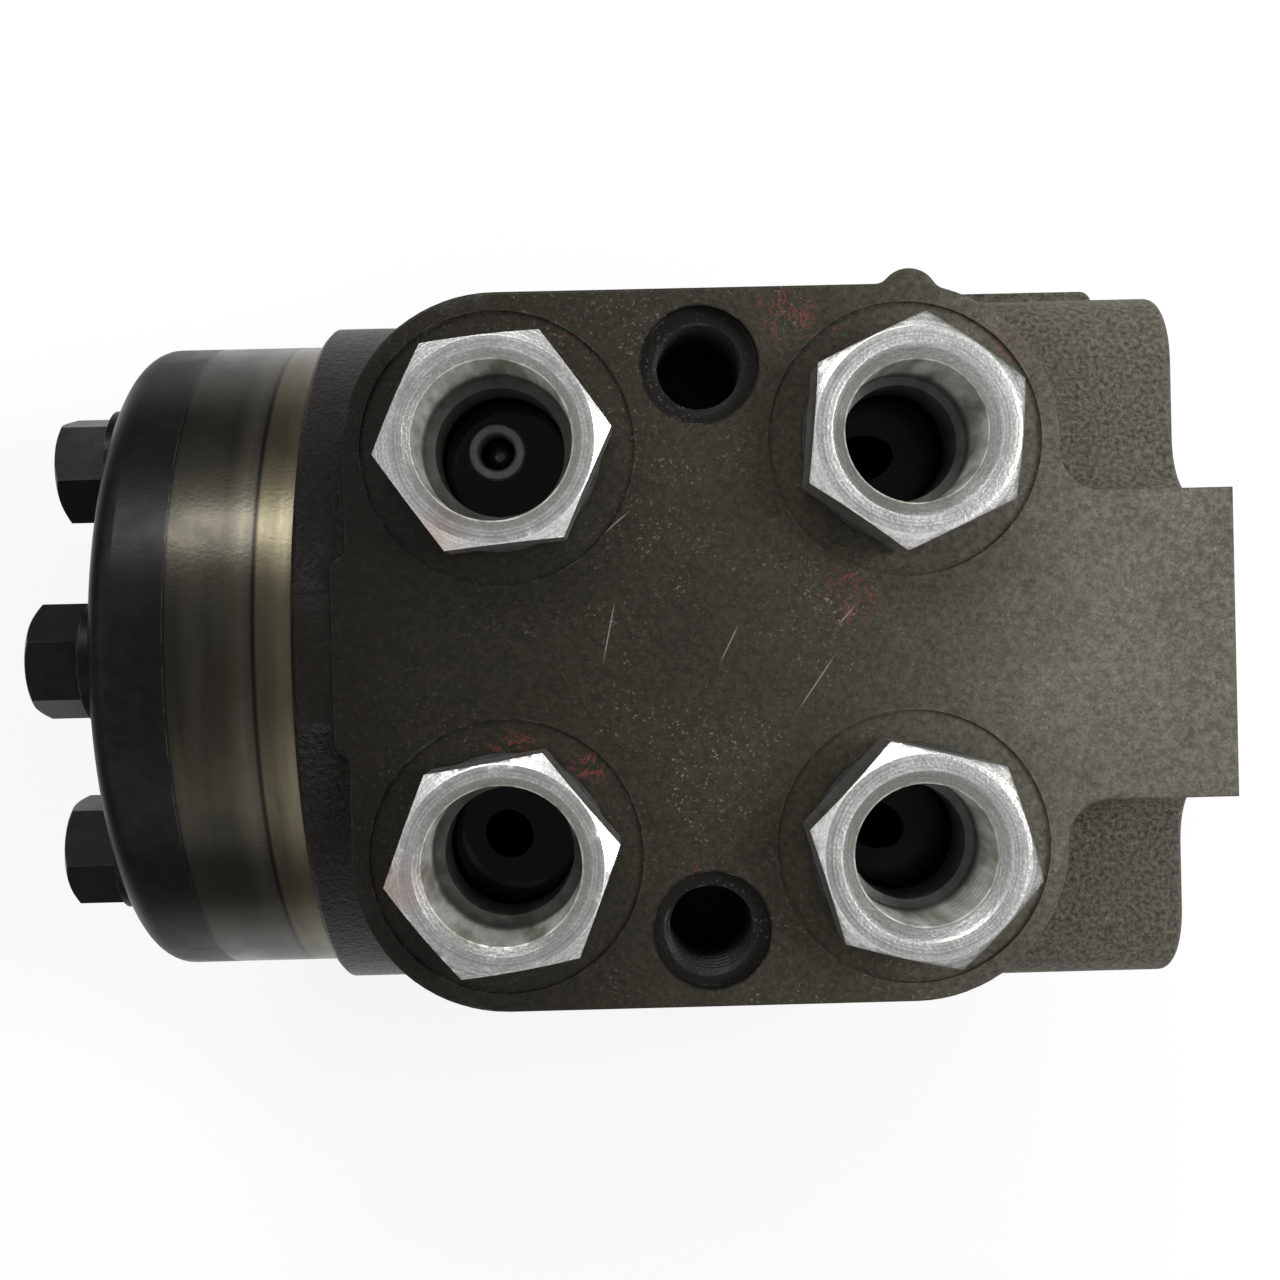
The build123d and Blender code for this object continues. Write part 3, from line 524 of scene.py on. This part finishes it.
def face_marks(cast, look, base, face):
    """Colour of the port face with its traces of marking paint and its scratches."""
    traces = 0.0
    for x, y, reach in PAINT_TRACES:
        near = cast.span(cast.radius((x, y, 0)), reach * 0.5, reach, 1, 0)
        traces = cast.math("MAXIMUM", traces, near)
    swirl = cast.math("SUBTRACT", cast.noise(300, 3, 0.6, distortion=1.4), 0.5)
    strands = cast.span(cast.math("ABSOLUTE", swirl), 0.006, 0.030, 0.45, 0)
    traces = cast.math("MULTIPLY", cast.math("MULTIPLY", traces, strands), face)
    base = cast.blend(traces, base, look.paint_colour)

    lines = 0.0
    for x, y, half, turn in SCRATCHES:
        scratch = cast.moved((x, y, 0), (0, 0, radians(turn)))
        thin = cast.span(cast.math("ABSOLUTE", cast.axis("Y", scratch)), 0.00003, 0.00010, 1, 0)
        short = cast.span(cast.math("ABSOLUTE", cast.axis("X", scratch)), half * 0.5, half, 1, 0)
        lines = cast.math("MAXIMUM", lines, cast.math("MULTIPLY", thin, short))
    lines = cast.math("MULTIPLY", cast.math("MULTIPLY", lines, face), 0.5)
    return cast.blend(lines, base, look.worn_colour)


def oil_and_shade_ports(cast, height):
    """Share that is 1 within reach of a port's line, below the wet level: oil and painted shade in the ports.
    """
    oily = 0.0
    for name in PORTS:
        inside = cast.math("LESS_THAN", cast.radius((*port_axis(name), 0)), PORT_REACH)
        wet = cast.math("MULTIPLY", inside, cast.math("LESS_THAN", height, WET_SHADE_LEVEL))
        oily = cast.math("MAXIMUM", oily, wet)
    return oily


def zinc_finish(look, name, bore_r):
    """Bright plated steel with turning rings about the port's own line."""
    centre = (*port_axis(name), 0)
    zinc = Finish(f"zinc_plate_{name}", metallic=1.0, roughness=0.35)
    away = zinc.radius(centre)
    wobble = zinc.math("MULTIPLY", zinc.noise(300, 3), 0.00025)
    turned = zinc.math("ADD", away, wobble)
    rings = zinc.math("SINE", zinc.math("MULTIPLY", turned, 2 * pi / RING_PITCH))
    outward = zinc.add("ShaderNodeCombineXYZ", X=turned).outputs[0]
    tracks = zinc.noise(2600, 3, 0.7, outward)
    cloud = zinc.span(zinc.noise(230, 6, 0.7), 0.32, 0.68)
    grain = zinc.span(zinc.noise(3000, 4, 0.7), 0.44, 0.62)
    colour = zinc.blend(cloud, shade(look.zinc_colour, 0.72), look.zinc_colour)
    colour = zinc.blend(zinc.math("MULTIPLY", grain, 0.6), colour, shade(look.zinc_colour, 1.38))
    colour = zinc.blend(zinc.span(tracks, 0.40, 0.52, 0.45, 0.0), colour, shade(look.zinc_colour, 0.45))
    bore = zinc.math("LESS_THAN", away, bore_r + 0.0002)
    # the bore's wall: pale plating with vertical streaks painted as highlights
    streaks = zinc.span(zinc.noise(420, 4, 0.6, zinc.moved(scale=(1, 1, 6))), 0.36, 0.64)
    bright = zinc.blend(streaks, (0.30, 0.30, 0.25), (0.80, 0.80, 0.76))
    colour = zinc.blend(bore, colour, bright)
    # painted warm reflection on a corner facet
    if name in ADAPTER_REFLECTIONS:
        near = zinc.span(zinc.radius((*ADAPTER_REFLECTIONS[name], 0)), 0.0008, 0.0042, 0.75, 0)
        colour = zinc.blend(near, colour, look.tint_colour)
    # painted shade deep in the bore
    deep = zinc.span(zinc.axis("Z"), *DEEP_BAND, 1, 0)
    colour = zinc.blend(zinc.math("MULTIPLY", deep, 0.9), colour, look.bore_shade_colour)
    zinc.colour(colour)
    metal = zinc.math("SUBTRACT", 1.0, zinc.math("MULTIPLY", bore, 0.6))
    zinc.tree.links.new(metal, zinc.shader.inputs["Metallic"])
    zinc.rough(zinc.span(cloud, 0, 1, 0.44, 0.28))
    zinc.normal(zinc.bump(rings, 0.000004, 0.5, zinc.bump(zinc.noise(2200, 4), 0.00005, 0.8)))
    return zinc


def rim_finish(name, colour, reflected_tint, seam, low, high, streak, bright_at):
    """Ground steel rim: streaks round it, oily seams at both ends, a brighter worn band and a painted brown
    reflection on the -Y side.
    """
    rim = Finish(name, metallic=0.85, roughness=0.4)
    along = rim.axis("X")
    streaks = rim.noise(streak, 5, 0.6, rim.moved(scale=(0.25, 2.5, 2.5)))
    cloud = rim.span(rim.noise(60, 4, 0.6), 0.38, 0.62)
    base = rim.blend(rim.span(streaks, 0.34, 0.66), shade(colour, 0.62), shade(colour, 1.35))
    base = rim.blend(rim.math("MULTIPLY", cloud, 0.5), base, shade(colour, 1.5))
    off_band = rim.math("DIVIDE", rim.math("SUBTRACT", along, bright_at), BRIGHT_BAND)
    band = rim.math("SUBTRACT", 1.0, rim.math("ABSOLUTE", off_band), clamp=True)
    worn = rim.math("MULTIPLY", band, rim.span(streaks, 0.3, 0.7, 0.2, 0.8))
    base = rim.blend(worn, base, shade(colour, 2.6))
    # painted brown reflection on the side facing -Y
    off_reflection = rim.math("ABSOLUTE", rim.math("ADD", rim.axis("Y"), RIM_REFLECTION_Y))
    reflected_share = rim.span(off_reflection, 0.004, 0.011, 0.5, 0)
    base = rim.blend(rim.math("MULTIPLY", reflected_share, cloud), base, reflected_tint)
    for end, inward in ((low, 1), (high, -1)):
        depth = rim.math("MULTIPLY", rim.math("SUBTRACT", along, end), inward)
        base = rim.blend(rim.span(depth, 0.0001, 0.00045, 0.9, 0), base, seam)
    rim.colour(base)
    rim.rough(rim.span(cloud, 0, 1, 0.36, 0.22))
    rim.normal(rim.bump(rim.noise(1900, 3), 0.00003, 0.6))
    return rim


def oxide_finish(name, colour):
    """Black oxide with a faint mottle and worn, paler edges."""
    black = Finish(name, metallic=0.4, roughness=0.34, Specular_IOR_Level=0.18)
    spots = black.span(black.noise(520, 6, 0.65), 0.34, 0.72)
    cloud = black.span(black.noise(55, 4, 0.6), 0.4, 0.62)
    base = black.blend(spots, shade(colour, 0.7), shade(colour, 1.9))
    base = black.blend(black.math("MULTIPLY", cloud, 0.4), base, shade(colour, 2.2))
    patches = black.span(black.noise(380, 3), 0.4, 0.6)
    worn = black.math("MULTIPLY", black.edge(OXIDE_EDGE, 0.06, 0.3), patches)
    base = black.blend(black.math("MULTIPLY", worn, 0.3), base, (0.25, 0.25, 0.22))
    black.colour(base)
    black.rough(black.span(cloud, 0, 1, 0.44, 0.28))
    black.normal(black.bump(black.noise(2100, 3, 0.6), 0.00003, 0.6))
    return black


def rubber_finish():
    """Dull black rubber."""
    rubber = Finish("seal_rubber", roughness=0.65, Specular_IOR_Level=0.4)
    rubber.mottle(900, (0.35, 0.65), (0.012,) * 3, (0.03,) * 3)
    rubber.rough(rubber.span(rubber.noise(1500), 0.3, 0.7, 0.5, 0.75))
    return rubber


def ball_finish(look):
    """Hard polished steel with a dark colour."""
    ball = Finish("check_ball", metallic=0.9, roughness=0.2)
    ball.mottle(800, (0.3, 0.7), shade(look.ball_colour, 0.6), look.ball_colour)
    ball.rough(ball.span(ball.noise(1200), 0.3, 0.7, 0.14, 0.3))
    return ball


def seat_finish(look):
    """Grey turned steel of the valve seat."""
    seat = Finish("valve_seat", metallic=0.4, roughness=0.45)
    seat.mottle(900, (0.3, 0.7), shade(look.seat_colour, 0.8), look.seat_colour)
    return seat


def ground_finish():
    """Bright ground steel of the inner parts."""
    ground = Finish("ground_steel", metallic=1.0, roughness=0.25)
    ground.mottle(260, (0.3, 0.7), (0.42, 0.42, 0.43), (0.60, 0.60, 0.60))
    ground.rough(ground.span(ground.noise(900, 3), 0.3, 0.7, 0.18, 0.34))
    return ground


def blued_finish():
    """Blued spring steel."""
    blued = Finish("blued_spring_steel", metallic=1.0, roughness=0.3)
    blued.mottle(300, (0.3, 0.7), (0.12, 0.14, 0.20), (0.22, 0.22, 0.26))
    return blued


# ---- pieces ----
class UNIT_OT_housing(Operator):
    """Cut the threads into the cast housing and give it its machined face, cast skin and worn edges"""

    bl_idname = "unit.housing"
    bl_label = "Housing"

    def execute(self, context):
        look = context.scene.unit_casting
        casting = copy_of("housing", "casting")
        minor = PLATE_BOLTS["dims"]["hole_r_mm"] * MM
        top = PLATE_BOLTS["pos_m"][2]
        for y in (-PLATE_HOLE_Y, PLATE_HOLE_Y):
            thread = tap(minor, minor + PLATE_DEPTH, PLATE_PITCH, top - PLATE_LENGTH, top + 0.2 * MM,
                         (PLATE_HOLE_X, y))
            join_by(casting, thread, "DIFFERENCE")
        column = MOUNTS["column_bolts"]["dims"]
        minor = column["hole_r_mm"] * MM
        across, tall = (column[key] / 2 * MM for key in ("spacing_x_mm", "spacing_y_mm"))
        for y in (-across, across):
            for z in (-tall, tall):
                thread = tap(minor - CORE_ROOM, minor + COLUMN_DEPTH, COLUMN_PITCH, -COLUMN_LENGTH,
                             0.3 * MM, (y, z), "X")
                join_by(casting, thread, "DIFFERENCE")
        finished(casting, "cast_housing", "housing", cast_finish(look))
        return {"FINISHED"}


class UNIT_OT_adapters(Operator):
    """Make the four threaded port adapters, and finish their seals and the check valve"""

    bl_idname = "unit.adapters"
    bl_label = "Port adapters"

    def execute(self, context):
        look = context.scene.unit_adapters
        for name in PORTS:
            node = f"port_adapter_{name}"
            adapter = copy_of(node, node)
            mouth = MOUNTS[f"port_{name}"]
            thread_r = mouth["dims"]["r_mm"] * MM
            length = mouth["dims"]["length_mm"] * MM
            top = mouth["pos_m"][2] + length / 2
            thread = tap(thread_r, thread_r + look.thread_depth, look.thread_pitch,
                         top - length + 0.9 * MM, top + 0.3 * MM, port_axis(name))
            join_by(adapter, thread, "DIFFERENCE")
            only(adapter)
            soft = adapter.modifiers.new("soft_edges", "BEVEL")
            soft.width = ADAPTER_BEVEL
            soft.segments = 2
            soft.limit_method = "ANGLE"
            soft.angle_limit = BEVEL_ANGLE
            bpy.ops.object.modifier_apply(modifier=soft.name)
            zinc = zinc_finish(look, name, thread_r)
            finished(adapter, f"threaded_adapter_{name}", node, zinc)
        rubber = rubber_finish()
        for node in (*(f"port_seal_{name}" for name in PORTS), *RUBBER_PARTS):
            paint(NODES[node], rubber)
        paint(NODES["check_ball"], ball_finish(look))
        paint(NODES["check_valve_seat"], seat_finish(look))
        return {"FINISHED"}


class UNIT_OT_gear_stack(Operator):
    """Finish the distributor plate, the gear ring and the end cover"""

    bl_idname = "unit.gear_stack"
    bl_label = "Gear stack"

    def execute(self, context):
        look = context.scene.unit_stack
        paint(NODES["end_cover"], oxide_finish("black_oxide_cover", look.cover_colour))
        for node, name, colour, streak, share in (
            ("gerotor_ring", "ring_steel", look.ring_colour, 55, 0.85),
            ("distributor_plate", "plate_steel", look.plate_colour, 90, 0.8),
        ):
            low, high = (corner[0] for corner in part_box(node))
            bright_at = low + share * (high - low)
            rim = rim_finish(name, colour, look.rim_reflection_colour, look.seam_colour, low, high, streak,
                             bright_at)
            paint(NODES[node], rim)
        return {"FINISHED"}


class UNIT_OT_cover_bolts(Operator):
    """Finish the seven cover bolts and their washers"""

    bl_idname = "unit.cover_bolts"
    bl_label = "Cover bolts"

    def execute(self, context):
        black = oxide_finish("black_oxide_bolts", context.scene.unit_stack.bolt_colour)
        for name, node in NODES.items():
            if name.startswith(("cover_bolt", "cover_washer", "pin_bolt")):
                paint(node, black)
        return {"FINISHED"}


class UNIT_OT_inner_parts(Operator):
    """Finish the spool, the sleeve, the cardan shaft and the other inner parts"""

    bl_idname = "unit.inner_parts"
    bl_label = "Inner parts"

    def execute(self, context):
        ground = ground_finish()
        for name in GROUND_PARTS:
            paint(NODES[name], ground)
        blued = blued_finish()
        for name in BLUED_PARTS:
            paint(NODES[name], blued)
        return {"FINISHED"}


class UNIT_OT_stage(Operator):
    """Add the floor, the lamps and the camera"""

    bl_idname = "unit.stage"
    bl_label = "Stage"

    def execute(self, context):
        look = context.scene.unit_stage
        start()
        bpy.ops.mesh.primitive_circle_add(vertices=64, radius=FLOOR_R, fill_type="NGON",
                                          location=(0, 0, CAD_BOX[0][2]))
        floor = context.object
        floor.name = "studio_floor"
        white = Finish("studio_white", roughness=0.9, Base_Color=(*look.floor_colour, 1))
        path = white.add("ShaderNodeLightPath").outputs
        mirrored = white.math("MAXIMUM", path["Is Glossy Ray"], path["Is Transmission Ray"])
        glow = white.add("ShaderNodeEmission", Color=(1, 1, 1, 1), Strength=1.05).outputs[0]
        glow = white.add("ShaderNodeMixShader", i0=0.25, i1=glow, i2=white.shader.outputs[0]).outputs[0]
        reach = white.span(white.radius(GLOW_CENTRE), *GLOW_REACH, 0.85, 0.15)
        dim = white.add("ShaderNodeEmission", Color=(1, 1, 1, 1), Strength=reach).outputs[0]
        plain = white.shader.outputs[0]
        mixed = white.add("ShaderNodeMixShader", i0=path["Is Camera Ray"], i1=plain, i2=glow).outputs[0]
        mixed = white.add("ShaderNodeMixShader", i0=mirrored, i1=mixed, i2=dim).outputs[0]
        white.tree.links.new(mixed, white.tree.nodes["Material Output"].inputs["Surface"])
        paint(floor, white)

        world = bpy.data.worlds.new("studio_world")
        context.scene.world = world
        world.use_nodes = True
        nodes, links = world.node_tree.nodes, world.node_tree.links
        nodes["Background"].inputs["Color"].default_value = (1, 1, 1, 1)
        way = nodes.new("ShaderNodeSeparateXYZ")
        links.new(nodes.new("ShaderNodeTexCoord").outputs["Generated"], way.inputs[0])
        sky = nodes.new("ShaderNodeValToRGB")
        ramp = sky.color_ramp.elements
        levels = (
            (0.0, look.horizon),
            (0.28, 1.3 * look.horizon),
            (0.50, look.window),
            (0.66, look.window),
            (0.90, look.overhead),
            (1.0, look.overhead),
        )
        for stop, level in levels:
            mark = ramp.new(stop) if 0 < stop < 1 else ramp[0 if stop == 0 else -1]
            mark.color = (level, level, level, 1)
        links.new(way.outputs["Z"], sky.inputs["Fac"])
        white_out = nodes.new("ShaderNodeMath")
        white_out.operation = "MAXIMUM"
        links.new(nodes.new("ShaderNodeLightPath").outputs["Is Camera Ray"], white_out.inputs[0])
        links.new(sky.outputs["Color"], white_out.inputs[1])
        links.new(white_out.outputs[0], nodes["Background"].inputs["Strength"])
        for name, place, size, power in LAMPS:
            data = bpy.data.lights.new(name, "AREA")
            data.shape = "RECTANGLE"
            data.size, data.size_y = size
            data.energy = power
            lamp = bpy.data.objects.new(name, data)
            context.collection.objects.link(lamp)
            lamp.location = place
            lamp.rotation_euler = (LAMP_AIM - Vector(place)).to_track_quat("-Z", "Y").to_euler()

        camera_data = bpy.data.cameras.new("camera")
        camera_data.sensor_width = 36.0
        camera_data.lens = look.lens
        camera_data.clip_start = 0.01
        camera = bpy.data.objects.new("camera", camera_data)
        context.collection.objects.link(camera)
        tilt_x, tilt_y, tilt_z = look.camera_turn
        turn = Matrix.Rotation(tilt_x, 3, "X") @ Matrix.Rotation(tilt_y, 3, "Y")
        turn = turn @ Matrix.Rotation(tilt_z, 3, "Z")
        camera.matrix_world = Matrix.Translation(look.camera_place) @ turn.transposed().to_4x4()
        context.scene.camera = camera
        context.scene.view_settings.view_transform = "Standard"
        return {"FINISHED"}


OPERATORS = (
    UNIT_OT_housing,
    UNIT_OT_adapters,
    UNIT_OT_gear_stack,
    UNIT_OT_cover_bolts,
    UNIT_OT_inner_parts,
    UNIT_OT_stage,
)
SETTINGS = {
    "unit_casting": CastingSettings,
    "unit_adapters": AdapterSettings,
    "unit_stack": StackSettings,
    "unit_stage": StageSettings,
}


class UNIT_PT_panel(Panel):
    """Sidebar panel with the pieces and their settings"""

    bl_idname = "UNIT_PT_panel"
    bl_label = "Steering unit"
    bl_space_type = "VIEW_3D"
    bl_region_type = "UI"
    bl_category = "Steering unit"

    def draw(self, context):
        for name, group in SETTINGS.items():
            box = self.layout.box()
            for key in group.__annotations__:
                box.prop(getattr(context.scene, name), key)
        for operator in OPERATORS:
            self.layout.operator(operator.bl_idname)


def register():
    for cls in (*SETTINGS.values(), *OPERATORS, UNIT_PT_panel):
        bpy.utils.register_class(cls)
    for name, group in SETTINGS.items():
        setattr(bpy.types.Scene, name, PointerProperty(type=group))


def unregister():
    for name in SETTINGS:
        delattr(bpy.types.Scene, name)
    for cls in reversed((*SETTINGS.values(), *OPERATORS, UNIT_PT_panel)):
        bpy.utils.unregister_class(cls)


def main():
    register()
    for operator in OPERATORS:
        family, name = operator.bl_idname.split(".")
        getattr(getattr(bpy.ops, family), name)()


if __name__ == "__main__":
    main()
